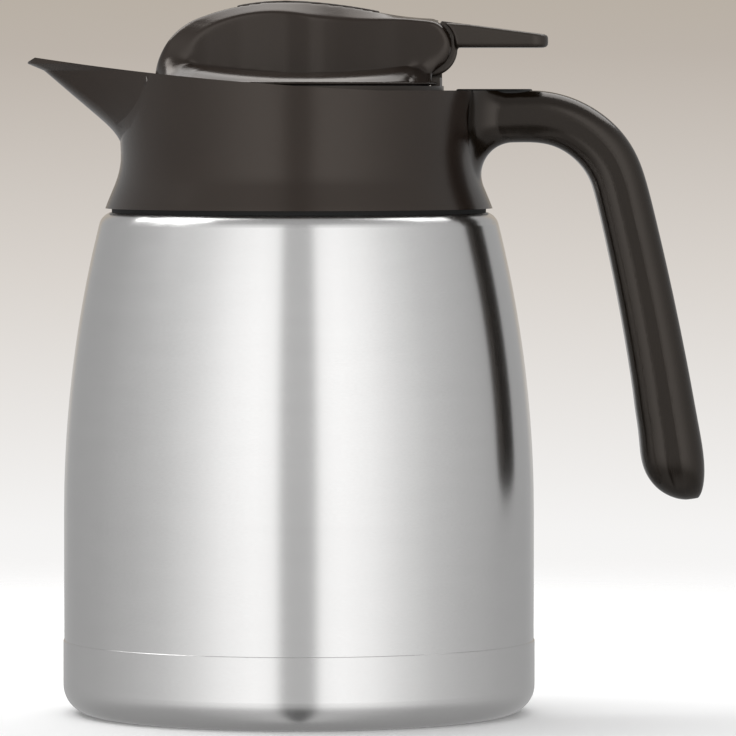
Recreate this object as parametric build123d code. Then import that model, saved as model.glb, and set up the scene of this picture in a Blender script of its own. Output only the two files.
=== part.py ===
"""Thermal carafe with a flip lid: vacuum bottle, spouted collar, handle, screw stopper, thumb lid.

Millimetres. The origin is the centre of the foot ring, +Z points up, +X towards the handle and
-X towards the spout. The carafe is symmetric about the XZ plane, apart from the hinge spring.
"""
from build123d import *
import math
import os

os.makedirs("parts", exist_ok=True)

# ---------------------------------------------------------------- steel vessel
SHELL_R = 72.9            # outside radius of the straight wall
SHELL_WALL = 0.6          # sheet of the outer shell
STRAIGHT_TOP = 62.0       # height where the wall starts to lean in
TAPER_RISE = 89.6         # height of the leaning wall
TAPER_LEAN = 11.0         # how far it leans in
CORNER_RISE = 3.7         # rounded corner between wall and shoulder
CORNER_RUN = 3.3
SHOULDER_WIDTH = 20.6     # flat shoulder, from its outer edge to the neck
NECK_RISE = 11.8          # neck above the shoulder
NECK_ROOT = 4.0           # radius between shoulder and neck
CUP_PROUD = 0.3           # base cup outside the shell
CUP_TOP = 22.6            # weld line
CUP_WALL = 0.7
CUP_CORNER = 9.0          # rounded lower edge
FOOT_WIDTH = 8.0          # flat ring that the carafe stands on
FOOT_RISE = 2.5           # the middle of the base stands this high
FOOT_SLOPE = 3.0
VACUUM_GAP = 4.0          # between the shell and the inner bottle
NECK_GAP = 1.0            # the same between the two necks
BOTTLE_WALL = 0.6
BOTTLE_FLOOR = 7.5        # underside of the inner bottle
BOTTLE_CORNER = 14.0
FOIL_WALL = 0.25
FOIL_CLEARANCE = 0.15
FOIL_BOTTOM = 24.0
FOIL_TOP_DROP = 12.0      # foil ends this far under the shoulder
GETTER_R = 7.0
GETTER_RISE = 2.0
GETTER_X = 25.0
TIP_R = 5.0               # sealing disc under the base
TIP_RISE = 1.3

# ---------------------------------------------------------------- collar and spout
SEAM = 1.3                # gasket between shoulder and collar
SEAM_INSET = 2.0
COLLAR_OVERHANG = 1.4     # collar edge outside the shoulder edge
COLLAR_WALL = 2.4
COLLAR_FOOT = 2.0         # height of the inward foot on the gasket
COLLAR_FOOT_WIDTH = 5.5
WAIST_RISE = 16.9         # waist above the collar's lower edge
WAIST_IN = 4.8            # waist inside the lower edge
WAIST_LEAN = 0.34         # inward lean of the wall at the lower edge
RIM_FLARE = 0.04          # outward lean above the waist
RIM_RISE = 36.4           # rear rim above the collar's lower edge
RIM_FLAT_X = 25.0         # the rim is level behind this point
RIM_START_SLOPE = 0.04
SPOUT_LENGTH = 28.8       # tip of the lip beyond the waist
LIP_BEVEL_RUN = 2.5       # the highest point is this far behind the tip
SPOUT_CREST_RISE = 10.2   # crest above the rear rim
LIP_BEVEL = 1.4           # drop from the crest to the tip
LIP_RISE = 2.1            # height of the lip's underside
BEAK_START = 1.0          # the beak leaves the collar this far inside the waist
BEAK_LOW = -0.9           # height of its start, from the waist
BEAK_BLEND = 11.0         # height over which it turns outwards
BEAK_SLOPE = 1.175        # run over rise of the underside
BEAK_TOP_RISE = 25.7      # top of the underside, above the waist
BEAK_STEPS = 6            # sections up the beak
NOSE_LOW_R = 34.0         # plan radius of the beak at its foot
NOSE_TOP_R = 8.0          # and at the lip
FLANK_SINK = 0.6          # the flanks end this far inside the barrel
FLANK_LEAN = 0.4          # least inward lean of the flanks
FLANK_HOLLOW = 0.8        # depth of the hollow in each flank at the lip
BACK_SHARE = 0.6          # the beak's flat back, as a share of the barrel's radius
CREASE_R = 8.0            # blend between the beak and the collar
LAND_WIDTH = 9.7          # from the waist's outside to the stopper's round well
WELL_WALL = 2.2
FLOOR_RISE = 11.9         # top of the collar's floor above its lower edge
FLOOR_WALL = 3.0
LAND_WALL = 3.5           # plastic under the rim
CHANNEL_FLOOR = 6.5       # bottom of the pouring channel above the waist
FRONT_SOLID = 34.0        # the wall is solid for this far behind the front of the waist
FRONT_FLOOR = 1.5         # and upwards from this far above the waist
BEAK_FOOT = 4.0           # the beak's solid starts this far under the waist
THREAD_ALLOWANCE = 0.2    # radial, ring skirt to collar floor

# ---------------------------------------------------------------- throat ring and its seal
RING_SKIRT = 2.8
RING_SKIRT_DROP = 9.5
RING_NECK_GAP = 0.3
RING_WEB = 2.8
RING_SLEEVE_GAP = 1.3     # sleeve inside the collar's well
RING_SLEEVE_WALL = 2.9
RING_SLEEVE_RISE = 13.5
RING_BORE_GAP = 0.4       # ring bore outside the bottle's mouth
MOUTH_SEAL_RISE = 0.8
LIP_WALL = 0.6

# ---------------------------------------------------------------- handle
HANDLE_RUN = 16.8         # level run beyond the waist
HANDLE_THICK = 16.0
HANDLE_SWELL = 3.0        # extra thickness at the lower end
SWELL_POWER = 3           # how late along the handle it swells
HANDLE_WIDTH = 25.2
HANDLE_BEND = 20.5        # the bend's run and drop
HANDLE_BEND_DROP = 8.8
HANDLE_KNEE = 7.0         # the knee's
HANDLE_KNEE_DROP = 12.7
HANDLE_GRIP = 16.3        # and those of the grip
HANDLE_GRIP_DROP = 83.5
HANDLE_ROOT = 11.2        # the handle starts this far inside the waist
HANDLE_STEPS = 13         # sections from the root to the lower end
HANDLE_CAP = 14.6         # rounded lower end
HANDLE_CAP_LEAN = 0.55    # the end's tip is moved outwards by this share
CAP_SHARES = (0.4, 0.7, 0.88, 0.975)
ROOT_FILLET = 10.0        # blend between the handle and the collar
ROOT_REACH = 1.0          # edges this near the barrel belong to the handle's root
SECTION_ROUNDING = 0.82   # corner radius as a share of the half thickness
COVER_THICK = 2.2
COVER_WIDTH = 15.0
COVER_START = 0.30        # ends of the cover strip, as shares of the handle's length
COVER_END = 0.92
TRIM_START = 1.0          # trim behind the well's wall
TRIM_LENGTH = 23.5
TRIM_WIDTH = 18.0
TRIM_THICK = 1.7
TRIM_PROUD = 0.5
TONGUE_WIDTH = 20.0
TONGUE_THICK = 5.0
TONGUE_DROP = 8.5         # top of the tongue under the rim
TONGUE_END_GAP = 0.9
TONGUE_CLEARANCE = 0.2
TONGUE_OVERLAP = 3.0      # the tongue runs this far into the handle
SCREW_R = 1.5
SCREW_HEAD_R = 2.1
SCREW_HEAD = 2.2
SCREW_SPREAD = 6.0
SCREW_LENGTH = 11.0
SCREW_HOLE_GAP = 0.2
SCREW_HOLE_START = 1.0    # the holes start this far under the tongue

# ---------------------------------------------------------------- stopper
STOPPER_GAP = 0.3         # stopper to the throat ring
PLUG_NECK_GAP = 0.9       # plug to the bottle's mouth
PLUG_BOTTOM_DROP = 9.7    # plug below the bottle's lip
PLUG_WALL = 3.0
BASE_RISE = 2.5
GASKET_RISE = 4.0
GASKET_DEPTH = 2.0
GASKET_NECK_GAP = 0.3
GASKET_GAP = 0.15
THREAD_GAP = 0.6          # stopper thread to ring thread, radial
CUP_GAP = 0.6             # stopper head to the well
HEAD_DROP = 6.5           # dish floor under the rear rim
HEAD_FLOOR = 3.0
HEAD_RIM = 3.4
HEAD_RIM_RISE = 1.4       # dish rim above the rear rim
PORT_INSET = 17.9         # port's middle inside the plug's wall
PORT_R = 9.0
PORT_WALL = 2.0
PORT_RISE = 2.1           # port rim above the dish floor
VENT_INSET = 17.9
VENT_R = 2.5
VENT_WALL = 2.0
NOTCH_WIDTH = 32.0        # gap in the head's rim, in front of the port
NOTCH_DEPTH = 6.8
NOTCH_DROP = 1.0
UPSTAND = 2.4
UPSTAND_WALL = 1.8
UPSTAND_GAP = 0.1
FOAM_GAP = 0.3

# ---------------------------------------------------------------- hinge
PIVOT_INSET = 4.9         # pivot inside the collar's well
PIVOT_RISE = 12.8         # pivot above the rear rim
PIN_R = 1.5
PIN_CLEARANCE = 0.05
PIN_COVER = 1.5           # the pin ends this far inside the cheeks
KNUCKLE_R = 6.0
KNUCKLE_HALF = 5.0
HINGE_SIDE_GAP = 0.3
HUB_R = 8.4
HUB_HALF = 10.7
HUB_GAP = 0.4             # lid to the hub
POST_GAP = 0.3            # lid edge to post
POST_THICK = 3.4
POST_HALF = 11.0
POST_HUB_GAP = 0.4
SPRING_WIRE = 0.8
SPRING_R = 3.4
SPRING_PITCH = 0.9
SPRING_TURNS = 3
SPRING_POCKET = 4.0
SPRING_GAP = 0.3
SPRING_LEG = 1.6          # leg into the hub
SPRING_LEG_GAP = 0.1

# ---------------------------------------------------------------- flip lid
FLANGE_INSET = 0.4        # flange inside the stopper's edge
FLANGE_EDGE = 0.8         # thickness at the rim
FLANGE_REAR = 2.0         # it ends this far behind the pivot
FLANGE_POST_GAP = 0.3     # beside the stopper's post
COVE_RISE = 3.4           # the cove climbs this far up the ridge where it is lowest
COVE_LOW_X = 5.0
COVE_FRONT = 7.0          # and this much further at the flange's front
COVE_REAR = 4.5           # and at its rear
COVE_NOSE = 0.5           # but it runs out under the nose, at this height
COVE_STEPS = 9            # sections along the flange behind the nose
COVE_SPARE = 1.0          # the sections run this far past the rim
COVE_LEAST = 3.0          # least width of the cove
COVE_ROOT = 0.4           # the cove ends this far inside the ridge's side
FLANGE_GAP = 0.3          # lid flange above the stopper's rim
RIDGE_HALF = 15.0
RIDGE_TOP_RISE = 27.3     # ridge above the rear rim, under the insert
RIDGE_WALL = 2.4
BEVEL_DEPTH = 5.5         # the bevel round each side panel, across the ridge
NOSE_BEVEL = 7.6          # and its width at the nose, brow, crown, saddle and cheek
BROW_BEVEL_RUN = 6.0
BROW_BEVEL_DROP = 1.6
CROWN_BEVEL = 3.8
SADDLE_BEVEL = 2.2
CHEEK_BEVEL = 1.0
BEVEL_SOFTENING = 0.6     # radius of its edges
CHEEK_HALF_GAP = 0.2
CHEEK_R = 7.4
CHEEK_RISE = 9.4          # top of the cheek above the pivot
CHEEK_TURN_X = 4.8        # point on the cheek's round rear end, from the pivot
CHEEK_TURN_Z = 7.1
BROW_RUN = 13.5           # the steep front turns into the hump this far back
BROW_RISE = 22.3
SADDLE_RISE = 24.1        # ridge at the rear end of the insert
INSERT_PROUD = 0.4
INSERT_THICK = 1.6
INSERT_HALF = 9.0
INSERT_FRONT = 25.5       # front of the insert behind the flange's front
INSERT_BACK = 15.6        # its rear end in front of the pivot
POCKET_DEEP = 2.0         # the insert's pocket is cut from this far above it
INSERT_GAP = 0.15
LINER_THICK = 2.0
LINER_INSET = 4.0         # liner inside the flange
SEAL_THICK = 2.2
SEAL_MARGIN = 1.0
STEM_R = 3.0
VENT_STEM_R = 1.4
STEM_LENGTH = 1.0         # the stems end this far above the liner
SEAL_GAP = 0.3
LEVER_LENGTH = 36.4       # from the pivot to the tip
LEVER_TOP_RISE = 8.7      # lever's top line above the pivot at the hub
LEVER_TIP_RISE = 4.4      # and at the tip
LEVER_UNDER = 0.5         # its underside above the pivot
LEVER_HALF = 13.0
LEVER_START = 3.4         # start of the thumb plate behind the pivot
LEVER_TIP_ROUND = 1.2     # rounded edge along the tip
LEVER_SIDE_CUT = 1.0      # the cut beside the hub runs this far past the plate
LEVER_CORNER = 5.0        # plan radius of the tip's corners
LEVER_LID_GAP = 0.6
LID_SCREW_R = 1.2
LID_SCREW_HEAD_R = 2.2
LID_SCREW_HEAD = 1.2
LID_SCREW_LENGTH = 6.0
LID_SCREW_FRONT = 10.5    # screws behind the flange's front and in front of the pivot
LID_SCREW_BACK = 14.6
LID_SCREW_GAP = 0.2
LID_SCREW_Y = 7.0
LID_BOSS_R = 3.2

TOUCH = 0.01              # for picking faces and edges by their place

# ---------------------------------------------------------------- derived places
taper_top = STRAIGHT_TOP + TAPER_RISE
shoulder_z = taper_top + CORNER_RISE
shoulder_r = SHELL_R - TAPER_LEAN - CORNER_RUN
neck_r = shoulder_r - SHOULDER_WIDTH
neck_top = shoulder_z + NECK_RISE
mouth_top = neck_top + LIP_WALL
bottle_inset = SHELL_WALL + VACUUM_GAP
bottle_neck_r = neck_r - SHELL_WALL - NECK_GAP
mouth_r = bottle_neck_r - BOTTLE_WALL
cup_r = SHELL_R + CUP_PROUD

collar_z = shoulder_z + SEAM
collar_r = shoulder_r + COLLAR_OVERHANG
waist_z = collar_z + WAIST_RISE
waist_r = collar_r - WAIST_IN
well_r = waist_r - LAND_WIDTH
spout_reach = waist_r + SPOUT_LENGTH
spout_crest = spout_reach - LIP_BEVEL_RUN
rim_z = collar_z + RIM_RISE
crest_z = rim_z + SPOUT_CREST_RISE
collar_top = crest_z + LIP_BEVEL
floor_z = collar_z + FLOOR_RISE
land_z = rim_z - LAND_WALL
channel_z = waist_z + CHANNEL_FLOOR
well_wall_r = well_r + WELL_WALL

skirt_r = neck_r + RING_NECK_GAP + RING_SKIRT
web_top = floor_z + RING_WEB
sleeve_top = floor_z + RING_SLEEVE_RISE
sleeve_r = well_r - RING_SLEEVE_GAP
thread_r = sleeve_r - RING_SLEEVE_WALL
ring_bore_r = mouth_r + RING_BORE_GAP

dish_z = rim_z - HEAD_DROP
head_r = well_r - CUP_GAP
head_top = rim_z + HEAD_RIM_RISE
plug_r = mouth_r - PLUG_NECK_GAP
plug_bottom = mouth_top - PLUG_BOTTOM_DROP
gasket_z = plug_bottom + BASE_RISE
port_top = dish_z + PORT_RISE
port_x = PORT_INSET - plug_r
vent_x = plug_r - VENT_INSET

pivot_x = well_r - PIVOT_INSET
pivot_z = rim_z + PIVOT_RISE
lever_tip_x = pivot_x + LEVER_LENGTH
flange_r = head_r - FLANGE_INSET
flange_z = head_top + FLANGE_GAP
foot_z = flange_z + FLANGE_EDGE
ridge_top = rim_z + RIDGE_TOP_RISE
liner_z = flange_z - LINER_THICK
seal_z = port_top + SEAL_GAP


# ---------------------------------------------------------------- helpers
def turned(outline):
    """Solid turned about the vertical axis from a closed half outline of (radius, height)."""
    return revolve(Plane.XZ * make_face(outline), Axis.Z)


def turned_polygon(*points):
    return turned(Polyline(*points, close=True))


def ring(inner_r, outer_r, low, high):
    return turned_polygon((inner_r, low), (outer_r, low), (outer_r, high), (inner_r, high))


def post(radius, low, high, x=0.0, y=0.0):
    """Upright cylinder."""
    return Pos(x, y, (low + high) / 2) * Cylinder(radius, high - low)


def block(x_range, y_range, z_range):
    """Box from three (low, high) pairs."""
    spans = [high - low for low, high in (x_range, y_range, z_range)]
    middles = [(high + low) / 2 for low, high in (x_range, y_range, z_range)]
    return Pos(*middles) * Box(*spans)


def slab(outline, half_width):
    """Plate with a closed side outline of (x, height), centred on the XZ plane."""
    return extrude(Plane.XZ * make_face(outline), amount=half_width, both=True)


def even_steps(first, last, count):
    """Evenly spaced values from first to last, both included."""
    return [first + (last - first) * step / count for step in range(count + 1)]


def cross_pin(radius, low_y, high_y):
    """Cylinder along Y on the hinge pivot."""
    middle = Pos(pivot_x, (low_y + high_y) / 2, pivot_z)
    return middle * Rot(X=90) * Cylinder(radius, high_y - low_y)


# ---------------------------------------------------------------- steel vessel
def vessel(inset, floor, corner, neck_radius, top):
    """Filled vessel: floor, straight wall, long taper, rounded corner, shoulder and neck."""
    radius = SHELL_R - inset
    base = Line((0, floor), (radius - corner, floor))
    edge = TangentArc(base @ 1, (radius, floor + corner), tangent=(1, 0))
    wall = Line(edge @ 1, (radius, STRAIGHT_TOP))
    taper = TangentArc(wall @ 1, (radius - TAPER_LEAN, taper_top - inset), tangent=(0, 1))
    bend = TangentArc(taper @ 1, (shoulder_r - inset, shoulder_z - inset), tangent=taper % 1)
    shoulder = Line(bend @ 1, (neck_radius + NECK_ROOT, shoulder_z - inset))
    root = TangentArc(
        shoulder @ 1, (neck_radius, shoulder_z - inset + NECK_ROOT), tangent=(-1, 0)
    )
    neck = Polyline(root @ 1, (neck_radius, top), (0, top), (0, floor))
    return turned(base + edge + wall + taper + bend + shoulder + root + neck)


def make_outer_shell():
    outside = vessel(0, CUP_TOP - CUP_CORNER, CUP_CORNER, neck_r, neck_top)
    inside = vessel(
        SHELL_WALL, CUP_TOP - CUP_CORNER, CUP_CORNER, neck_r - SHELL_WALL, neck_top + SHELL_WALL
    )
    return outside - inside - post(cup_r, 0, CUP_TOP)


def make_inner_bottle():
    outside = vessel(bottle_inset, BOTTLE_FLOOR, BOTTLE_CORNER, bottle_neck_r, mouth_top)
    inside = vessel(
        bottle_inset + BOTTLE_WALL,
        BOTTLE_FLOOR + BOTTLE_WALL,
        BOTTLE_CORNER - BOTTLE_WALL,
        mouth_r,
        mouth_top + BOTTLE_WALL,
    )
    lip = ring(mouth_r, neck_r, neck_top, mouth_top)
    return outside - inside + lip


def make_heat_shield_foil():
    inner = bottle_inset - FOIL_CLEARANCE
    outside = vessel(inner - FOIL_WALL, BOTTLE_FLOOR, BOTTLE_CORNER, bottle_neck_r, neck_top)
    inside = vessel(inner, BOTTLE_FLOOR, BOTTLE_CORNER, bottle_neck_r, neck_top)
    band = post(SHELL_R, FOIL_BOTTOM, shoulder_z - FOIL_TOP_DROP)
    return (outside - inside) & band


def make_base_cup():
    """Drawn cup with a rounded lower edge, a flat foot ring and a raised middle."""
    foot_out = cup_r - CUP_CORNER
    foot_in = foot_out - FOOT_WIDTH
    step_in = foot_in - FOOT_SLOPE
    under = Polyline((0, FOOT_RISE), (step_in, FOOT_RISE), (foot_in, 0), (foot_out, 0))
    edge = TangentArc(under @ 1, (cup_r, CUP_CORNER), tangent=(1, 0))
    inner_r = cup_r - CUP_WALL
    side = Polyline(edge @ 1, (cup_r, CUP_TOP), (inner_r, CUP_TOP), (inner_r, CUP_CORNER))
    inner_edge = TangentArc(side @ 1, (foot_out, CUP_WALL), tangent=(0, -1))
    over = Polyline(
        inner_edge @ 1,
        (foot_in, CUP_WALL),
        (step_in, FOOT_RISE + CUP_WALL),
        (0, FOOT_RISE + CUP_WALL),
        (0, FOOT_RISE),
    )
    return turned(under + edge + side + inner_edge + over)


def make_vacuum_seal():
    return post(TIP_R, FOOT_RISE - TIP_RISE, FOOT_RISE)


def make_getter():
    seat = FOOT_RISE + CUP_WALL
    return post(GETTER_R, seat, seat + GETTER_RISE, GETTER_X)


# ---------------------------------------------------------------- collar with its spout
def collar_wall_r(height, inset=0.0):
    """Radius of the collar's turned wall above the waist."""
    return waist_r - inset + RIM_FLARE * (height - waist_z)


def collar_turned(inset, low, high):
    """Filled waisted barrel of the collar."""
    waist = Spline(
        (collar_r - inset, collar_z),
        (waist_r - inset, waist_z),
        tangents=[(-WAIST_LEAN, 1), (RIM_FLARE, 1)],
    )
    rest = Polyline(
        waist @ 1, (collar_wall_r(high, inset), high), (0, high), (0, collar_z), waist @ 0
    )
    return turned(waist + rest) & post(SHELL_R, low, high)


def nose_reach(height):
    """Distance of the beak's underside from the axis, on the spout side."""
    start = waist_z + BEAK_LOW
    climbed = min(max(height - start, 0.0), BEAK_BLEND)
    curved = BEAK_SLOPE * climbed ** 2 / (2 * BEAK_BLEND)
    straight = BEAK_SLOPE * max(height - start - BEAK_BLEND, 0.0)
    return waist_r - BEAK_START + curved + straight


def nose_radius(height):
    share = min(max((height - waist_z) / BEAK_TOP_RISE, 0.0), 1.0)
    return NOSE_LOW_R + (NOSE_TOP_R - NOSE_LOW_R) * share


def flank_hollow(height):
    """Depth of the hollow in each flank, which grows from the waist to the lip."""
    share = min(max((height - waist_z) / BEAK_TOP_RISE, 0.0), 1.0)
    return FLANK_HOLLOW * share + TOUCH


def mirrored(point):
    """The same point on the other side of the XZ plane."""
    return Vector(point.X, -point.Y)


def beak_section(height, reach, nose_r, inset=0.0):
    """Level section: a round nose, two hollow flanks that end inside the barrel, a flat back."""
    flank_r = min(reach - FLANK_LEAN, collar_wall_r(height, inset) - FLANK_SINK)
    centre = Vector(nose_r - reach, 0)
    turn = math.acos((flank_r - nose_r) / (reach - nose_r))
    side = Vector(-math.cos(turn), math.sin(turn))
    near = centre + side * nose_r
    far = side * flank_r
    middle = (near + far) * 0.5 - side * flank_hollow(height)
    nose = ThreePointArc(near, (-reach, 0), mirrored(near))
    flank = ThreePointArc(mirrored(near), mirrored(middle), mirrored(far))
    back = Polyline(mirrored(far), mirrored(far) * BACK_SHARE, far * BACK_SHARE, far)
    other_flank = ThreePointArc(far, middle, near)
    return Pos(0, 0, height) * make_face(nose + flank + back + other_flank)


def beak_solid():
    """Filled beak: a lofted underside and the flatter lip on top of it."""
    top = waist_z + BEAK_TOP_RISE
    heights = even_steps(waist_z - BEAK_FOOT, top, BEAK_STEPS)
    body = loft([beak_section(z, nose_reach(z), nose_radius(z)) for z in heights])
    lip_z = top + LIP_RISE
    lip = loft(
        [
            beak_section(top, nose_reach(top), NOSE_TOP_R),
            beak_section(lip_z, spout_reach, NOSE_TOP_R),
            beak_section(collar_top, spout_reach, NOSE_TOP_R),
        ],
        ruled=True,
    )
    return body + lip


def channel_void():
    """Pouring channel inside the beak, open to the well and to the top."""
    inset = COLLAR_WALL
    run = inset * math.hypot(1.0, BEAK_SLOPE)
    top = waist_z + BEAK_TOP_RISE
    heights = even_steps(channel_z, top, BEAK_STEPS - 2)
    sections = [
        beak_section(z, nose_reach(z) - run, nose_radius(z) - inset, inset) for z in heights
    ]
    lip_z = top + LIP_RISE
    mouth = loft(
        [
            beak_section(top, nose_reach(top) - run, NOSE_TOP_R - inset, inset),
            beak_section(lip_z, spout_reach - inset, NOSE_TOP_R - inset, inset),
            beak_section(collar_top + inset, spout_reach - inset, NOSE_TOP_R - inset, inset),
        ],
        ruled=True,
    )
    return loft(sections) + mouth


def above_rim():
    """Everything above the rim line, which sweeps up from the rear to the lip."""
    far = 2 * spout_reach
    high = 2 * collar_top
    sweep = TangentArc(
        (RIM_FLAT_X, rim_z), (-spout_crest, crest_z), tangent=(-1, RIM_START_SLOPE)
    )
    rest = Polyline(
        sweep @ 1,
        (-spout_reach, crest_z - LIP_BEVEL),
        (-spout_reach - LIP_BEVEL_RUN, crest_z - 2 * LIP_BEVEL),
        (-far, crest_z - 2 * LIP_BEVEL),
        (-far, high),
        (far, high),
        (far, rim_z),
        sweep @ 0,
    )
    return slab(sweep + rest, spout_reach)


def collar_outside():
    """Filled outside of the collar, before it is cut at the rim and hollowed."""
    return collar_turned(0, collar_z, collar_top) + beak_solid()


def make_spout_collar():
    """Hollow collar: outer wall, rim land, well for the stopper, floor and pouring channel."""
    outside = collar_outside()
    creases = [
        edge
        for edge in outside.edges().filter_by(GeomType.BSPLINE)
        if is_beak_crease(edge)
    ]
    outside = fillet(creases, CREASE_R)
    wall = collar_turned(COLLAR_WALL, collar_z + COLLAR_FOOT, land_z)
    jacket = wall - post(well_wall_r, floor_z - FLOOR_WALL, collar_top)
    boss = block((well_r, waist_r), (-POST_HALF, POST_HALF), (rim_z - TONGUE_DROP, rim_z))
    front_x = FRONT_SOLID - waist_r
    front = block((-SHELL_R, front_x), (-SHELL_R, SHELL_R), (waist_z + FRONT_FLOOR, collar_top))
    foot_r = collar_r - COLLAR_FOOT_WIDTH
    collar = outside - (jacket - boss - front)
    collar = collar - post(foot_r, collar_z, collar_z + COLLAR_FOOT)
    collar = collar - post(skirt_r + THREAD_ALLOWANCE, collar_z, collar_top)
    collar = collar - post(well_r, floor_z, collar_top) - channel_void() - above_rim()
    return collar - tongue_solid(TONGUE_CLEARANCE) - trim_solid() - handle_screw_holes()


def is_beak_crease(edge):
    """True for the two edges where the loft of the beak leaves the barrel."""
    box = edge.bounding_box()
    on_side = abs(edge.center().Y) > NOSE_TOP_R and edge.length > BEAK_TOP_RISE
    radius = math.hypot((edge @ 0.5).X, (edge @ 0.5).Y)
    near_barrel = radius < collar_wall_r(rim_z) + FLANK_SINK
    return on_side and near_barrel and box.max.Z > rim_z and box.min.Z > waist_z


def make_collar_gasket():
    outer = collar_r - SEAM_INSET
    return ring(collar_r - COLLAR_FOOT_WIDTH, outer, shoulder_z, collar_z)


def make_throat_ring():
    """Stepped ring: skirt screwed on the neck, web over the lip, sleeve for the stopper."""
    skirt_bottom = floor_z - RING_SKIRT_DROP
    return turned_polygon(
        (neck_r + RING_NECK_GAP, skirt_bottom),
        (skirt_r, skirt_bottom),
        (skirt_r, floor_z),
        (sleeve_r, floor_z),
        (sleeve_r, sleeve_top),
        (thread_r, sleeve_top),
        (thread_r, web_top),
        (ring_bore_r, web_top),
        (ring_bore_r, mouth_top + MOUTH_SEAL_RISE),
        (neck_r + RING_NECK_GAP, mouth_top + MOUTH_SEAL_RISE),
    )


def make_mouth_seal():
    return ring(ring_bore_r, neck_r, mouth_top, mouth_top + MOUTH_SEAL_RISE)


# ---------------------------------------------------------------- handle
def rounded_section(plane, half_thick, half_wide):
    """Section with well rounded corners."""
    corner = SECTION_ROUNDING * min(half_thick, half_wide)
    return plane * RectangleRounded(2 * half_thick, 2 * half_wide, corner)


def handle_path():
    """Centre line: a level run from inside the collar, then three arcs down to the lower end."""
    height = rim_z - HANDLE_THICK / 2
    run = Line((waist_r - HANDLE_ROOT, 0, height), (waist_r + HANDLE_RUN, 0, height))
    pieces = [run]
    for out, down in (
        (HANDLE_BEND, HANDLE_BEND_DROP),
        (HANDLE_KNEE, HANDLE_KNEE_DROP),
        (HANDLE_GRIP, HANDLE_GRIP_DROP),
    ):
        start = pieces[-1] @ 1
        end = start + Vector(out, 0, -down)
        pieces.append(TangentArc(start, end, tangent=pieces[-1] % 1))
    return Wire(pieces)


def grip_plane(path, share):
    """Plane square to the handle, whose x axis points away from the vessel."""
    along = path % share
    outward = Vector(-along.Z, 0, along.X)
    return Plane(origin=path @ share, x_dir=outward, z_dir=along)


def grip_thickness(share):
    return HANDLE_THICK + HANDLE_SWELL * share ** SWELL_POWER


def handle_sections():
    """Evenly spaced sections along the handle, and the rounded end under it."""
    path = handle_path()
    sections = []
    for share in even_steps(0.0, 1.0, HANDLE_STEPS):
        plane = grip_plane(path, share)
        sections.append(rounded_section(plane, grip_thickness(share) / 2, HANDLE_WIDTH / 2))
    end = grip_plane(path, 1.0)
    half = grip_thickness(1.0) / 2
    for share in CAP_SHARES:
        shrink = math.sqrt(1 - share ** 2)
        shift = HANDLE_CAP_LEAN * half * (1 - shrink)
        centre = end.origin + end.x_dir * shift + end.z_dir * share * HANDLE_CAP
        plane = Plane(origin=centre, x_dir=end.x_dir, z_dir=end.z_dir)
        sections.append(rounded_section(plane, half * shrink, HANDLE_WIDTH / 2 * shrink))
    return sections


def handle_solid():
    """Swept handle with a round blend where it leaves the collar, level with the rim."""
    barrel = collar_turned(0, collar_z, collar_top)
    joined = barrel + loft(handle_sections())
    root_edges = [edge for edge in joined.edges() if is_root_edge(edge)]
    blended = fillet(root_edges, ROOT_FILLET) - barrel
    under_rim = blended & block((0, 2 * SHELL_R), (-SHELL_R, SHELL_R), (0, rim_z))
    return under_rim.solids().sort_by(Axis.X)[-1]


def is_root_edge(edge):
    """True for the edges where the handle meets the barrel of the collar."""
    middle = edge @ 0.5
    off_barrel = abs(math.hypot(middle.X, middle.Y) - collar_wall_r(middle.Z))
    inside_handle = middle.X > 0 and abs(middle.Y) < HANDLE_WIDTH / 2 + TOUCH
    return edge.geom_type == GeomType.BSPLINE and inside_handle and off_barrel < ROOT_REACH


def cover_ribbon():
    """Region under the inner face of the grip that the cover strip fills."""
    path = handle_path()
    inner = []
    outer = []
    for share in even_steps(COVER_START, COVER_END, HANDLE_STEPS):
        plane = grip_plane(path, share)
        depth = grip_thickness(share) / 2 - COVER_THICK
        inner.append(plane.origin - plane.x_dir * depth)
        outer.append(plane.origin - plane.x_dir * (depth + 2 * COVER_THICK))
    outline = Spline(inner) + Line(inner[-1], outer[-1]) + Spline(outer) + Line(outer[0], inner[0])
    return extrude(make_face(outline), amount=COVER_WIDTH / 2, both=True, dir=(0, 1, 0))


def tongue_solid(clearance=0.0):
    """Tongue of the handle that reaches through the collar's wall under its boss."""
    start = well_wall_r + TONGUE_END_GAP - clearance
    half = TONGUE_WIDTH / 2 + clearance
    top = rim_z - TONGUE_DROP
    end = waist_r + TONGUE_OVERLAP
    return block((start, end), (-half, half), (top - TONGUE_THICK - clearance, top))


def trim_solid():
    """Flat dark strip let into the top of the collar's land and the handle."""
    start = well_wall_r + TRIM_START
    top = rim_z + TRIM_PROUD
    strip = block(
        (start, start + TRIM_LENGTH), (-TRIM_WIDTH / 2, TRIM_WIDTH / 2), (top - TRIM_THICK, top)
    )
    return fillet(strip.edges().filter_by(Axis.Z), TRIM_WIDTH / 4)


def screw_places():
    middle = (well_wall_r + waist_r - COLLAR_WALL) / 2
    return [(middle, SCREW_SPREAD), (middle, -SCREW_SPREAD)]


def handle_screw_holes(extra=0.0):
    top = rim_z - TONGUE_DROP - TONGUE_THICK + SCREW_LENGTH
    bottom = rim_z - TONGUE_DROP - TONGUE_THICK - SCREW_HOLE_START
    return [post(SCREW_R + extra, bottom, top, x, y) for x, y in screw_places()]


def make_handle():
    handle = handle_solid() - collar_outside() + tongue_solid()
    handle = handle - cover_ribbon() - trim_solid()
    return handle - handle_screw_holes(SCREW_HOLE_GAP)


def make_handle_cover():
    return handle_solid() & cover_ribbon()


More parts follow.
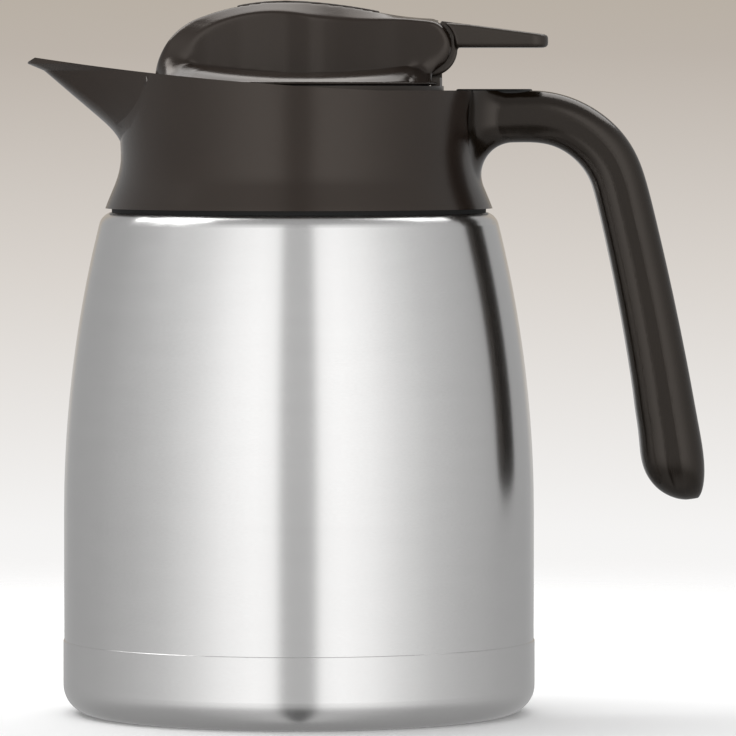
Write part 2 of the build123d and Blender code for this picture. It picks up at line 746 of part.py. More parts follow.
def make_handle_screws():
    """Two pan-head screws, driven up through the tongue into the collar's boss."""
    seat = rim_z - TONGUE_DROP - TONGUE_THICK
    screws = []
    for x, y in screw_places():
        shank = post(SCREW_R, seat, seat + SCREW_LENGTH, x, y)
        head = post(SCREW_HEAD_R, seat - SCREW_HEAD, seat, x, y)
        screws.append(shank + head)
    return Compound(children=screws)


# ---------------------------------------------------------------- stopper
def make_stopper_gasket():
    inner = plug_r - GASKET_DEPTH + GASKET_GAP
    return ring(inner, mouth_r - GASKET_NECK_GAP, gasket_z + GASKET_GAP,
                gasket_z + GASKET_RISE - GASKET_GAP)


def make_stopper_base():
    """Bottom cap that holds the gasket, with the pouring port and the air vent."""
    plate = post(plug_r, plug_bottom, gasket_z)
    hollow_r = plug_r - GASKET_DEPTH - PLUG_WALL
    upstand_r = hollow_r - UPSTAND_GAP
    upstand = ring(upstand_r - UPSTAND_WALL, upstand_r, gasket_z, gasket_z + UPSTAND)
    port = post(PORT_R, plug_bottom, gasket_z, port_x)
    vent = post(VENT_R, plug_bottom, gasket_z, vent_x)
    return plate + upstand - port - vent


def stopper_turned():
    """Plug, threaded head and open dish, turned as one."""
    hollow_r = plug_r - GASKET_DEPTH - PLUG_WALL
    groove_r = plug_r - GASKET_DEPTH
    head_bottom = web_top + STOPPER_GAP
    cup_bottom = sleeve_top + STOPPER_GAP
    return turned_polygon(
        (hollow_r, gasket_z),
        (groove_r, gasket_z),
        (groove_r, gasket_z + GASKET_RISE),
        (plug_r, gasket_z + GASKET_RISE),
        (plug_r, head_bottom),
        (thread_r - THREAD_GAP, head_bottom),
        (thread_r - THREAD_GAP, cup_bottom),
        (head_r, cup_bottom),
        (head_r, head_top),
        (head_r - HEAD_RIM, head_top),
        (head_r - HEAD_RIM, dish_z),
        (0, dish_z),
        (0, dish_z - HEAD_FLOOR),
        (hollow_r, dish_z - HEAD_FLOOR),
    )


def hinge_post():
    """Post on the dish's rear edge, with the knuckle that carries the pin."""
    post_x = pivot_x + POST_GAP
    foot = block(
        (post_x, post_x + POST_THICK),
        (-POST_HALF, POST_HALF),
        (dish_z - HEAD_FLOOR, pivot_z - HUB_R - POST_HUB_GAP),
    )
    stem = block(
        (post_x, post_x + POST_THICK), (-KNUCKLE_HALF, KNUCKLE_HALF), (dish_z, pivot_z)
    )
    knuckle = cross_pin(KNUCKLE_R, -KNUCKLE_HALF, KNUCKLE_HALF)
    bore = cross_pin(PIN_R + PIN_CLEARANCE, -KNUCKLE_HALF, KNUCKLE_HALF)
    return (foot & post(head_r, dish_z - HEAD_FLOOR, pivot_z)) + stem + knuckle - bore


def make_stopper_body():
    body = stopper_turned()
    for x, radius, wall in ((port_x, PORT_R, PORT_WALL), (vent_x, VENT_R, VENT_WALL)):
        body = body + post(radius + wall, gasket_z, port_top, x)
        body = body - post(radius, gasket_z, port_top, x)
    notch = block(
        (-well_r, NOTCH_DEPTH - well_r),
        (-NOTCH_WIDTH / 2, NOTCH_WIDTH / 2),
        (dish_z + NOTCH_DROP, head_top),
    )
    return body - notch + hinge_post()


def make_stopper_insulation():
    """Foam puck in the hollow of the stopper."""
    hollow_r = plug_r - GASKET_DEPTH - PLUG_WALL
    puck = post(
        hollow_r - FOAM_GAP, gasket_z + UPSTAND + FOAM_GAP, dish_z - HEAD_FLOOR - FOAM_GAP
    )
    port = post(PORT_R + PORT_WALL + FOAM_GAP, gasket_z, dish_z, port_x)
    vent = post(VENT_R + VENT_WALL + FOAM_GAP, gasket_z, dish_z, vent_x)
    return puck - port - vent


# ---------------------------------------------------------------- flip lid
def ridge_outline(bevel=0.0):
    """Side view of the ridge: steep front, long hump, low saddle and a round end at the pivot.

    With a bevel of 1 it is the outline of the side panel, inside the bevel.
    """
    nose_x = NOSE_BEVEL * bevel - flange_r
    brow = (
        BROW_RUN - flange_r + BROW_BEVEL_RUN * bevel,
        rim_z + BROW_RISE - BROW_BEVEL_DROP * bevel,
    )
    crown = (0, ridge_top - CROWN_BEVEL * bevel)
    saddle = (pivot_x - INSERT_BACK, rim_z + SADDLE_RISE - SADDLE_BEVEL * bevel)
    cheek = CHEEK_BEVEL * bevel
    over_pivot = (pivot_x, pivot_z + CHEEK_RISE - cheek)
    turn = (pivot_x + CHEEK_TURN_X - cheek, pivot_z + CHEEK_TURN_Z - cheek)
    front = TangentArc((nose_x, foot_z), brow, tangent=(0, 1))
    hump = TangentArc(front @ 1, crown, tangent=front % 1)
    slope = TangentArc(hump @ 1, saddle, tangent=hump % 1)
    top = TangentArc(slope @ 1, over_pivot, tangent=slope % 1)
    rear = TangentArc(top @ 1, turn, tangent=top % 1)
    end = TangentArc(rear @ 1, (pivot_x + CHEEK_R - cheek, pivot_z), tangent=rear % 1)
    under = TangentArc(end @ 1, (pivot_x, pivot_z - CHEEK_R + cheek), tangent=(0, -1))
    rest = Polyline(under @ 1, (pivot_x, foot_z), (nose_x, foot_z))
    return front + hump + slope + top + rear + end + under + rest


def ridge_slab(half_width, grow=0.0):
    face = make_face(ridge_outline())
    if grow:
        face = offset(face, amount=grow)
    return extrude(Plane.XZ * face, amount=half_width, both=True)


def ridge_solid():
    """Filled ridge: a flat panel on each side, framed by a bevel that is widest at the nose."""
    crown_half = RIDGE_HALF - BEVEL_DEPTH
    ridge = ridge_slab(crown_half)
    for side in (1, -1):
        edge = Plane.XZ.offset(side * crown_half) * make_face(ridge_outline())
        panel = Plane.XZ.offset(side * RIDGE_HALF) * make_face(ridge_outline(1.0))
        ridge = ridge + loft([edge, panel], ruled=True)
    return fillet([edge for edge in ridge.edges() if is_bevel_edge(edge)], BEVEL_SOFTENING)


def is_bevel_edge(edge):
    """True for the curved edges along both borders of the bevels."""
    far = [abs((edge @ share).Y) for share in (0, 0.5, 1)]
    on_border = any(
        all(abs(y - border) < TOUCH for y in far)
        for border in (RIDGE_HALF, RIDGE_HALF - BEVEL_DEPTH)
    )
    return on_border and edge.geom_type != GeomType.LINE and (edge @ 0.5).Z > foot_z + TOUCH


def insert_region(depth, proud, clearance=0.0):
    """Part of the hump between two offsets of its outline, for the top insert or its pocket."""
    half = INSERT_HALF + clearance
    span = block(
        (INSERT_FRONT - flange_r - clearance, pivot_x - INSERT_BACK + clearance),
        (-half, half),
        (pivot_z, 2 * ridge_top),
    )
    outer = ridge_slab(half, proud)
    inner = ridge_slab(RIDGE_HALF, -depth)
    return (outer - inner) & span


def hinge_slot():
    """Opening at the rear of the ridge for the lever's hub and the post."""
    half = HUB_HALF + CHEEK_HALF_GAP
    return block(
        (pivot_x - HUB_R - HUB_GAP, lever_tip_x),
        (-half, half),
        (flange_z, pivot_z + HUB_R + CHEEK_HALF_GAP),
    )


def lid_screw_places():
    return [
        (LID_SCREW_FRONT - flange_r, 0.0),
        (pivot_x - LID_SCREW_BACK, LID_SCREW_Y),
        (pivot_x - LID_SCREW_BACK, -LID_SCREW_Y),
    ]


def cove_top(x):
    """Height that the cove reaches on the ridge's side."""
    reach, rise = (-flange_r, COVE_FRONT) if x < COVE_LOW_X else (flange_r, COVE_REAR)
    share = (x - COVE_LOW_X) / (reach - COVE_LOW_X)
    return flange_z + COVE_RISE + rise * share ** 2


def cove_section(x, top_z):
    """Cross-section of the flange, with a hollow cove from each rim up to the ridge."""
    chord = math.sqrt(max(flange_r ** 2 - x ** 2, 0.0))
    edge_y = max(chord, RIDGE_HALF + COVE_LEAST) + COVE_SPARE
    top_y = RIDGE_HALF - COVE_ROOT
    cove = Bezier((edge_y, foot_z), (RIDGE_HALF, foot_z), (top_y, top_z))
    other = Bezier((-top_y, top_z), (-RIDGE_HALF, foot_z), (-edge_y, foot_z))
    rest = Polyline(other @ 1, (-edge_y, flange_z), (edge_y, flange_z), (edge_y, foot_z))
    outline = cove + Line(cove @ 1, other @ 0) + other + rest
    return Plane(origin=(x, 0, 0), x_dir=(0, 1, 0), z_dir=(1, 0, 0)) * make_face(outline)


def flange_solid():
    """Round flange under the ridge, cut away behind the hinge and beside the stopper's post."""
    places = even_steps(NOSE_BEVEL - flange_r, pivot_x + FLANGE_REAR, COVE_STEPS)
    front = cove_section(-flange_r - COVE_SPARE, foot_z + COVE_NOSE)
    blank = loft([front] + [cove_section(x, cove_top(x)) for x in places])
    notch_half = POST_HALF + FLANGE_POST_GAP
    notch = block((pivot_x, SHELL_R), (-notch_half, notch_half), (0, 2 * ridge_top))
    under_nose = block((-SHELL_R, SHELL_R), (-SHELL_R, SHELL_R), (flange_z, foot_z))
    profile = ridge_slab(SHELL_R) + under_nose
    return (blank & post(flange_r, flange_z, 2 * ridge_top) & profile) - notch


def lid_outside():
    """Filled lid: the ridge grows out of the round flange through a cove along each side."""
    rear = block((0, SHELL_R), (-RIDGE_HALF, RIDGE_HALF), (flange_z, 2 * ridge_top))
    ridge = ridge_solid() & (post(flange_r, flange_z, 2 * ridge_top) + rear)
    return ridge + flange_solid()


def lid_hollow():
    """Room inside the ridge, in front of the hinge."""
    half = RIDGE_HALF - BEVEL_DEPTH
    low_end = pivot_x - HUB_R - RIDGE_WALL
    room = ridge_slab(half, -RIDGE_WALL)
    room = room & block((-SHELL_R, low_end), (-SHELL_R, SHELL_R), (0, 2 * pivot_z))
    way_in = block(
        (2 * RIDGE_WALL - flange_r, low_end), (-half, half), (flange_z, foot_z + 2 * RIDGE_WALL)
    )
    return room + way_in


def make_lid_cover():
    """Round flange with the hollow ridge, hinge cheeks and screw bosses."""
    outside = lid_outside()
    cover = outside - lid_hollow()
    for x, y in lid_screw_places():
        cover = cover + (post(LID_BOSS_R, flange_z, ridge_top, x, y) & outside)
        cover = cover - post(LID_SCREW_R, flange_z, liner_z + LID_SCREW_LENGTH, x, y)
    cover = cover - hinge_slot() - cross_pin(PIN_R, -pin_half(), pin_half())
    return cover - insert_region(INSERT_THICK - INSERT_PROUD, POCKET_DEEP, INSERT_GAP)


def make_lid_top_insert():
    return insert_region(INSERT_THICK - INSERT_PROUD, INSERT_PROUD)


def pin_half():
    """Half the length of the pin, which ends inside the cheeks."""
    return RIDGE_HALF - PIN_COVER


def make_lid_liner():
    """Plate under the flange, with a boss for each seal."""
    liner = post(flange_r - LINER_INSET, liner_z, flange_z)
    for x, radius, stem in ((port_x, PORT_R, STEM_R), (vent_x, VENT_R, VENT_STEM_R)):
        liner = liner + post(radius, seal_z + SEAL_THICK, liner_z, x)
        liner = liner - post(stem, seal_z + SEAL_THICK, flange_z, x)
    for x, y in lid_screw_places():
        liner = liner - post(LID_SCREW_R + LID_SCREW_GAP, liner_z, flange_z, x, y)
    return liner


def seal(x, radius, stem):
    """Soft disc with a stem that is pulled through the liner."""
    face = post(radius, seal_z, seal_z + SEAL_THICK, x)
    return face + post(stem, seal_z + SEAL_THICK, flange_z + STEM_LENGTH, x)


def make_port_seal():
    return seal(port_x, PORT_R + PORT_WALL + SEAL_MARGIN, STEM_R)


def make_vent_seal():
    return seal(vent_x, VENT_R + VENT_WALL + SEAL_MARGIN, VENT_STEM_R)


def make_lid_screws():
    """Three screws that hold the liner to the cover."""
    screws = []
    for x, y in lid_screw_places():
        shank = post(LID_SCREW_R, liner_z, liner_z + LID_SCREW_LENGTH, x, y)
        head = post(LID_SCREW_HEAD_R, liner_z - LID_SCREW_HEAD, liner_z, x, y)
        screws.append(shank + head)
    return Compound(children=screws)


def make_thumb_lever():
    """Two hubs on the pin and a tapered thumb plate behind them."""
    clear_half = KNUCKLE_HALF + HINGE_SIDE_GAP
    start_x = pivot_x + LEVER_START
    outline = Polyline(
        (start_x, pivot_z + LEVER_UNDER),
        (start_x, pivot_z + LEVER_TOP_RISE),
        (lever_tip_x, pivot_z + LEVER_TIP_RISE),
        (lever_tip_x, pivot_z + LEVER_UNDER),
        close=True,
    )
    lid_end = pivot_x + CHEEK_R + LEVER_LID_GAP
    plate = slab(outline, LEVER_HALF)
    corners = plate.edges().filter_by(Axis.Z).group_by(Axis.X)[-1]
    plate = fillet(corners, LEVER_CORNER)
    plate = fillet([edge for edge in plate.edges() if is_tip_rim(edge)], LEVER_TIP_ROUND)
    for side in (-1, 1):
        low, high = sorted((side * HUB_HALF, side * (LEVER_HALF + LEVER_SIDE_CUT)))
        plate = plate - block((0, lid_end), (low, high), (0, 2 * pivot_z))
    lever = cross_pin(HUB_R, -HUB_HALF, HUB_HALF) + plate
    reach = pivot_x + KNUCKLE_R + 2 * LEVER_LID_GAP
    lever = lever - block((0, reach), (-clear_half, clear_half), (0, 2 * pivot_z))
    lever = lever - cross_pin(PIN_R, -HUB_HALF, HUB_HALF)
    pocket_r = SPRING_R + SPRING_WIRE / 2 + SPRING_GAP
    pocket = cross_pin(pocket_r, -clear_half - SPRING_POCKET, -clear_half)
    return lever - pocket - spring_leg(SPRING_LEG_GAP)


def is_tip_rim(edge):
    """True for the level edges round the lever's tip."""
    at_tip = edge.center().X > lever_tip_x - LEVER_CORNER
    return at_tip and abs((edge % 0.5).Z) < 0.5


def make_hinge_pin():
    return cross_pin(PIN_R, -pin_half(), pin_half())


def spring_coil():
    start_y = -(KNUCKLE_HALF + 2 * HINGE_SIDE_GAP + SPRING_WIRE / 2)
    return Helix(
        pitch=SPRING_PITCH,
        height=SPRING_PITCH * SPRING_TURNS,
        radius=SPRING_R,
        center=(pivot_x, start_y, pivot_z),
        direction=(0, -1, 0),
    )


def spring_leg(clearance=0.0):
    """Straight leg from the coil's outer end into the hub."""
    end = spring_coil() @ 1
    middle = Pos(end.X, end.Y - SPRING_LEG / 2, end.Z)
    return middle * Rot(X=90) * Cylinder(SPRING_WIRE / 2 + clearance, SPRING_LEG)


def make_hinge_spring():
    """Coil round the pin, in a pocket of the lever's hub."""
    coil = spring_coil()
    section = Plane(origin=coil @ 0, z_dir=coil % 0) * Circle(SPRING_WIRE / 2)
    return sweep(section, path=coil) + spring_leg()


PIECES = {
    "outer_shell": make_outer_shell,
    "base_cup": make_base_cup,
    "vacuum_seal": make_vacuum_seal,
    "getter": make_getter,
    "inner_bottle": make_inner_bottle,
    "heat_shield_foil": make_heat_shield_foil,
    "collar_gasket": make_collar_gasket,
    "spout_collar": make_spout_collar,
    "throat_ring": make_throat_ring,
    "mouth_seal": make_mouth_seal,
    "handle": make_handle,
    "handle_cover": make_handle_cover,
    "handle_screws": make_handle_screws,
    "top_trim": trim_solid,
    "stopper_gasket": make_stopper_gasket,
    "stopper_body": make_stopper_body,
    "stopper_base": make_stopper_base,
    "stopper_insulation": make_stopper_insulation,
    "lid_cover": make_lid_cover,
    "lid_top_insert": make_lid_top_insert,
    "lid_liner": make_lid_liner,
    "port_seal": make_port_seal,
    "vent_seal": make_vent_seal,
    "lid_screws": make_lid_screws,
    "thumb_lever": make_thumb_lever,
    "hinge_pin": make_hinge_pin,
    "hinge_spring": make_hinge_spring,
}

for name, make in PIECES.items():
    export_step(make(), f"parts/{name}.step")
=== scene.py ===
import math

import bmesh
import bpy
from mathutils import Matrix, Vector


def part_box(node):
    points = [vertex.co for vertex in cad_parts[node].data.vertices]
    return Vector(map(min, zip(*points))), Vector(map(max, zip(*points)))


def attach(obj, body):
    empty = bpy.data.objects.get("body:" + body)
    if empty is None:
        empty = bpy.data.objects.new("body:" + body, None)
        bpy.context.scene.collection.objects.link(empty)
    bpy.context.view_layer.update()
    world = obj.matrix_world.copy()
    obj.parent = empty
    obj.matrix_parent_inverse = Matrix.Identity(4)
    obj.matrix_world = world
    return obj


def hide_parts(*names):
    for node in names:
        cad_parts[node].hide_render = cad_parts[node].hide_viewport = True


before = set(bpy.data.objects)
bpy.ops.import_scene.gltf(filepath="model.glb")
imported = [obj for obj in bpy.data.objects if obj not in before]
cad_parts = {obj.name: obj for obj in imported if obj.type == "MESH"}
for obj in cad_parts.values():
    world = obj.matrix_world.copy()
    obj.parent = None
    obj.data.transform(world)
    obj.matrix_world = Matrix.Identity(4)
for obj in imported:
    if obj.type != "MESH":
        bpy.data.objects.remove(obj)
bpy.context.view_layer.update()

# Thermal carafe with flip lid, spout to the left (-X) and handle to the right (+X). The camera,
# lights and floor are in metres. The pieces that are made here are measured in millimetres.
MM = 0.001

# ---------------------------------------------------------------- camera and softboxes
SUBJECT = Vector((0.0214, 0.0, 0.1070))     # middle of the picture
EYE = Vector((0.0214, -2.140, 0.190))
LENS = 337.6
CLIP_END = 20.0
SOFTBOXES = {               # place, target, width and height in metres, and power in watts
    "softbox_top": ((-0.08, 0.42, 1.0), (-0.04, 0.0, 0.15), 1.9, 0.75, 11.0),
    "softbox_left": ((-0.78, 0.12, 1.04), (0.0, 0.0, 0.2), 0.6, 0.45, 2.8),
}

scene = bpy.context.scene
scene.view_settings.view_transform = "Standard"


def facing(place, target):
    """Turn that points a camera or a lamp at a target."""
    return (Vector(target) - Vector(place)).to_track_quat("-Z", "Y").to_euler()


def make_camera():
    data = bpy.data.cameras.new("camera")
    data.lens = LENS
    data.clip_end = CLIP_END
    camera = bpy.data.objects.new("camera", data)
    camera.location = EYE
    camera.rotation_euler = facing(EYE, SUBJECT)
    scene.collection.objects.link(camera)
    scene.camera = camera


def softbox(name, place, target, width, height, power):
    """Rectangular area lamp that faces a point."""
    data = bpy.data.lights.new(name, "AREA")
    data.shape = "RECTANGLE"
    data.size = width
    data.size_y = height
    data.energy = power
    lamp = bpy.data.objects.new(name, data)
    lamp.location = place
    lamp.rotation_euler = facing(place, target)
    scene.collection.objects.link(lamp)


make_camera()
for name, settings in SOFTBOXES.items():
    softbox(name, *settings)


# ---------------------------------------------------------------- shader node helpers
MIX_FACTOR = 0              # sockets of a mix node that mixes colours
MIX_FIRST = 6
MIX_SECOND = 7
MIX_RESULT = 2


class Nodes:
    """Short way to add shader nodes to one material or world."""

    def __init__(self, owner):
        owner.use_nodes = True
        self.tree = owner.node_tree
        self.tree.nodes.clear()

    def add(self, kind, inputs=None, **settings):
        node = self.tree.nodes.new(kind)
        for key, value in settings.items():
            setattr(node, key, value)
        for key, value in (inputs or {}).items():
            self.put(node, key, value)
        return node

    def put(self, node, key, value):
        """Sets a socket to a constant, or links another node's output to it."""
        socket = node.inputs[key]
        if isinstance(value, bpy.types.NodeSocket):
            self.tree.links.new(value, socket)
        else:
            socket.default_value = value

    def math(self, operation, a, b=0.0):
        return self.add("ShaderNodeMath", {0: a, 1: b}, operation=operation).outputs[0]

    def around(self, middle, spread, noise):
        """A value that a noise moves up and down about its middle."""
        return self.math("ADD", self.math("MULTIPLY", noise, spread), middle - spread / 2)

    def noise(self, vector, scale, detail=2.0, roughness=0.5):
        inputs = {"Vector": vector, "Scale": scale, "Detail": detail, "Roughness": roughness}
        return self.add("ShaderNodeTexNoise", inputs).outputs["Fac"]

    def mix(self, factor, a, b):
        inputs = {MIX_FACTOR: factor, MIX_FIRST: a, MIX_SECOND: b}
        return self.add("ShaderNodeMix", inputs, data_type="RGBA").outputs[MIX_RESULT]

    def ramp(self, factor, stops):
        node = self.add("ShaderNodeValToRGB", {"Fac": factor})
        elements = node.color_ramp.elements
        while len(elements) < len(stops):
            elements.new(0.5)
        for element, (position, colour) in zip(elements, stops):
            element.position = position
            element.color = (*colour, 1.0)
        return node.outputs["Color"]

    def smooth_step(self, value, start, end):
        """0 before the start, 1 past the end, and a soft passage between them."""
        inputs = {"Value": value, "From Min": start, "From Max": end}
        return self.add("ShaderNodeMapRange", inputs, interpolation_type="SMOOTHSTEP").outputs[0]


def new_material(name):
    material = bpy.data.materials.new(name)
    return material, Nodes(material)


def finish_material(nodes, shader):
    out = nodes.add("ShaderNodeOutputMaterial")
    nodes.tree.links.new(shader.outputs[0], out.inputs["Surface"])


def tone_stops(colour, spread, positions):
    """Ramp stops that run from a little darker than a colour to a little lighter."""
    dark = tuple(c * (1 - spread) for c in colour)
    light = tuple(min(c * (1 + spread), 1.0) for c in colour)
    return list(zip(positions, (dark, light)))


# ---------------------------------------------------------------- materials
BRUSH_WRAP = 0.02           # metres of brushing to a radian round the body
BRUSH_FINE = 2600.0         # scales of the fine and the broad streaks
BRUSH_BROAD = 160.0
BRUSH_FINE_SHARE = 0.7      # the broad streaks have the rest
BRUSH_SPAN = (0.3, 0.7)     # the part of the noise that the tint runs over
BRUSH_ROUGHNESS = 0.10      # how much the streaks change the roughness
BRUSH_DEPTH = 0.0004
BRUSH_ANISOTROPY = 0.85
BRUSH_TURN = 0.25           # a quarter turn: highlights spread up and down

GRAIN_DRIFT = 22.0          # scales of the tone drift and of the grain in plastic
GRAIN_SPECK = 2400.0
GRAIN_SPAN = (0.35, 0.65)
GRAIN_ROUGHNESS = 0.12
GRAIN_DEPTH = 0.0003
WARM_GREEN = 0.55           # a warm reflection loses this much green for all the blue it loses


def brushed_steel(name, colour, roughness, streak, bump):
    """Satin steel whose fine brushing runs round the vertical axis."""
    material, n = new_material(name)
    place = n.add("ShaderNodeTexCoord").outputs["Object"]
    split = n.add("ShaderNodeSeparateXYZ", {0: place})
    turn = n.math("ARCTAN2", split.outputs["Y"], split.outputs["X"])
    wide = n.math("MULTIPLY", turn, BRUSH_WRAP)
    along = n.add("ShaderNodeCombineXYZ", {0: wide, 1: 0.0, 2: split.outputs["Z"]}).outputs[0]
    fine = n.noise(along, BRUSH_FINE, detail=4.0, roughness=0.65)
    broad = n.noise(along, BRUSH_BROAD)
    fine_part = n.math("MULTIPLY", fine, BRUSH_FINE_SHARE)
    broad_part = n.math("MULTIPLY", broad, 1 - BRUSH_FINE_SHARE)
    grain = n.math("ADD", fine_part, broad_part)
    tint = n.ramp(grain, tone_stops(colour, streak, BRUSH_SPAN))
    rough = n.around(roughness, BRUSH_ROUGHNESS, grain)
    normal = n.add("ShaderNodeBump", {"Strength": bump, "Distance": BRUSH_DEPTH, "Height": fine})
    tangent = n.add("ShaderNodeTangent", direction_type="RADIAL", axis="Z")
    shader = n.add("ShaderNodeBsdfPrincipled", {
        "Base Color": tint,
        "Metallic": 1.0,
        "Roughness": rough,
        "Anisotropic": BRUSH_ANISOTROPY,
        "Anisotropic Rotation": BRUSH_TURN,
        "Tangent": tangent.outputs[0],
        "Normal": normal.outputs[0],
    })
    finish_material(n, shader)
    return material


def moulded(name, colour, roughness, metallic=0.0, mottle=0.12, grain=0.06, warmth=0.0):
    """Moulded or plain surface with a faint tone drift and a very fine grain."""
    material, n = new_material(name)
    place = n.add("ShaderNodeTexCoord").outputs["Object"]
    drift = n.noise(place, GRAIN_DRIFT, detail=3.0)
    speck = n.noise(place, GRAIN_SPECK, roughness=0.6)
    tint = n.ramp(drift, tone_stops(colour, mottle, GRAIN_SPAN))
    rough = n.around(roughness, GRAIN_ROUGHNESS, speck)
    normal = n.add("ShaderNodeBump", {"Strength": grain, "Distance": GRAIN_DEPTH, "Height": speck})
    shader = n.add("ShaderNodeBsdfPrincipled", {
        "Base Color": tint,
        "Metallic": metallic,
        "Roughness": rough,
        "Specular Tint": (1.0, 1.0 - WARM_GREEN * warmth, 1.0 - warmth, 1.0),
        "Normal": normal.outputs[0],
    })
    finish_material(n, shader)
    return material


BRONZE_WARMTH = 0.18

steel = brushed_steel(
    "steel_brushed", (0.68, 0.675, 0.67), roughness=0.22, streak=0.04, bump=0.006)
steel_plain = brushed_steel(
    "steel_plain", (0.60, 0.60, 0.61), roughness=0.22, streak=0.02, bump=0.01)
bronze = moulded(
    "plastic_bronze", (0.015, 0.010, 0.0075), roughness=0.20, warmth=BRONZE_WARMTH)
# Handle plastic: the bronze plastic made darker, partly the handle's own darker brown and partly
# painted shade for the darker look of its sides.
dark_brown_and_shade = moulded(
    "plastic_dark_brown", (0.0065, 0.0042, 0.0025), roughness=0.17, warmth=BRONZE_WARMTH)
lever_brown = moulded(
    "plastic_lever", (0.018, 0.014, 0.011), roughness=0.30, warmth=BRONZE_WARMTH)
black = moulded("plastic_black", (0.016, 0.014, 0.013), roughness=0.42)
rubber = moulded("rubber_black", (0.004, 0.004, 0.004), roughness=0.7)
screw_steel = moulded(
    "screw_steel", (0.55, 0.54, 0.52), roughness=0.28, metallic=1.0, mottle=0.04, grain=0.03)
silicone = moulded("silicone_pale", (0.55, 0.53, 0.49), roughness=0.45)
foil = moulded("foil_bright", (0.75, 0.74, 0.72), roughness=0.25, metallic=1.0)
foam = moulded("foam_pale", (0.72, 0.70, 0.64), roughness=0.85)

LOOKS = {
    "outer_shell": steel, "base_cup": steel, "inner_bottle": steel_plain,
    "vacuum_seal": steel_plain, "getter": steel_plain, "heat_shield_foil": foil,
    "collar_gasket": rubber, "spout_collar": bronze, "throat_ring": black,
    "mouth_seal": silicone, "handle": dark_brown_and_shade, "handle_cover": dark_brown_and_shade,
    "handle_screws": steel_plain, "top_trim": rubber, "stopper_gasket": silicone,
    "stopper_body": lever_brown, "stopper_base": black, "stopper_insulation": foam,
    "lid_cover": bronze, "lid_top_insert": bronze, "lid_liner": black,
    "port_seal": silicone, "vent_seal": silicone, "lid_screws": steel_plain,
    "thumb_lever": lever_brown, "hinge_pin": steel_plain, "hinge_spring": steel_plain,
}
for node, material in LOOKS.items():
    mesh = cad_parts[node].data
    mesh.materials.clear()
    mesh.materials.append(material)


# ---------------------------------------------------------------- helpers for new pieces
SLIVER = 0.002              # an edge shorter than this has no size


def share(value, start, end):
    """How far a value has come from the start to the end, kept between 0 and 1."""
    return min(max((value - start) / (end - start), 0.0), 1.0)


def closed_mesh(name, vertices, faces):
    """Mesh from points in millimetres, with its faces turned outwards."""
    mesh = bpy.data.meshes.new(name)
    mesh.from_pydata([Vector(v) * MM for v in vertices], [], faces)
    bm = bmesh.new()
    bm.from_mesh(mesh)
    bmesh.ops.recalc_face_normals(bm, faces=bm.faces)
    if bm.calc_volume(signed=True) < 0:
        bmesh.ops.reverse_faces(bm, faces=bm.faces)
    bm.to_mesh(mesh)
    bm.free()
    return mesh


def new_piece(name, vertices, faces, body, material, smooth=False):
    """Mesh piece, given in millimetres, that rides on a body."""
    mesh = closed_mesh(name, vertices, faces)
    mesh.materials.append(material)
    for face in mesh.polygons:
        face.use_smooth = smooth
    piece = bpy.data.objects.new(name, mesh)
    scene.collection.objects.link(piece)
    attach(piece, body)
    return piece


def apply_modifiers(piece):
    """Replaces a piece's mesh by what its modifiers make of it."""
    graph = bpy.context.evaluated_depsgraph_get()
    finished = bpy.data.meshes.new_from_object(piece.evaluated_get(graph))
    piece.modifiers.clear()
    piece.data = finished


def close_slivers(mesh):
    """Closes up edges and faces that have no size."""
    bm = bmesh.new()
    bm.from_mesh(mesh)
    bmesh.ops.dissolve_degenerate(bm, dist=SLIVER * MM, edges=bm.edges)
    bm.to_mesh(mesh)
    bm.free()


def copy_of(node):
    """New piece with a copy of a CAD node's mesh."""
    piece = bpy.data.objects.new(node + "_skin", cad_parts[node].data.copy())
    scene.collection.objects.link(piece)
    return piece


def fine_skin(node, voxel):
    """Copy of a CAD node's mesh, remade as an even fine skin that can be softened."""
    piece = copy_of(node)
    skin = piece.modifiers.new("skin", "REMESH")
    skin.mode = "VOXEL"
    skin.voxel_size = voxel * MM
    apply_modifiers(piece)
    return piece


def soften(piece, name, passes, group=""):
    """Adds a modifier that evens out the skin, in one vertex group or all over."""
    modifier = piece.modifiers.new(name, "SMOOTH")
    modifier.factor = 0.5
    modifier.iterations = passes
    modifier.vertex_group = group


def finish_skin(piece, node, body):
    """Gives a softened skin its node's material and lets it stand for the node."""
    apply_modifiers(piece)
    piece.data.materials.clear()
    piece.data.materials.append(LOOKS[node])
    for face in piece.data.polygons:
        face.use_smooth = True
    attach(piece, body)
    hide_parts(node)


# ---------------------------------------------------------------- lid cover
LID_VOXEL = 0.5             # the lid's skin is remade at this size, then softened
LID_SOFTENING = 26
LID_RIM_R = 41.6            # the flange's round rim and its foot
LID_FOOT = 195.5
LID_SIDE = 15.0             # half widths of the ridge at its foot and at its top
LID_TOP_HALF = 9.5
LID_PILLOW = 5.6            # how fast the flange's rounded edge levels out
LID_LOW_X = 5.0             # where the flange's top is lowest, and its heights over the foot
LID_LOW_RISE = 2.9
LID_FRONT_RISE = 4.6        # it climbs this much more to the nose and to the hinge
LID_REAR_RISE = 4.5
LID_LEAST_ROOM = 0.5        # the flange beside the ridge counts as at least this wide
LID_ROOM_START = 1.5        # the pillow fades out where the flange beside the ridge is narrow
LID_ROOM_NOSE = 8.5
LID_ROOM_HINGE = 4.5
LID_NOSE_FADE = (-40.5, -35.5)
LID_WAVE = [                # (place along the ridge, how far the side panel stands back there)
    (-44.0, 2.1), (-29.0, 1.75), (-18.0, 1.15), (-8.6, 0.45), (-3.0, 0.05), (0.0, 0.0),
    (3.0, 0.08), (8.0, 0.52), (12.0, 0.70), (18.0, 0.72), (24.0, 0.92), (31.0, 1.25),
    (50.0, 1.25),
]
LID_SEAM = 0.6              # the ridge's faces count from this far above the flange's foot
LID_PANEL_SLACK = 0.3       # the panel may stand this far outside the ridge's foot
LID_FLANGE_START = 0.6      # the flange counts from this far beside the ridge
LID_FLANGE_SLACK = 0.4
LID_UNDERCUT = 0.15         # a face counts as outer if it leans in no more than this
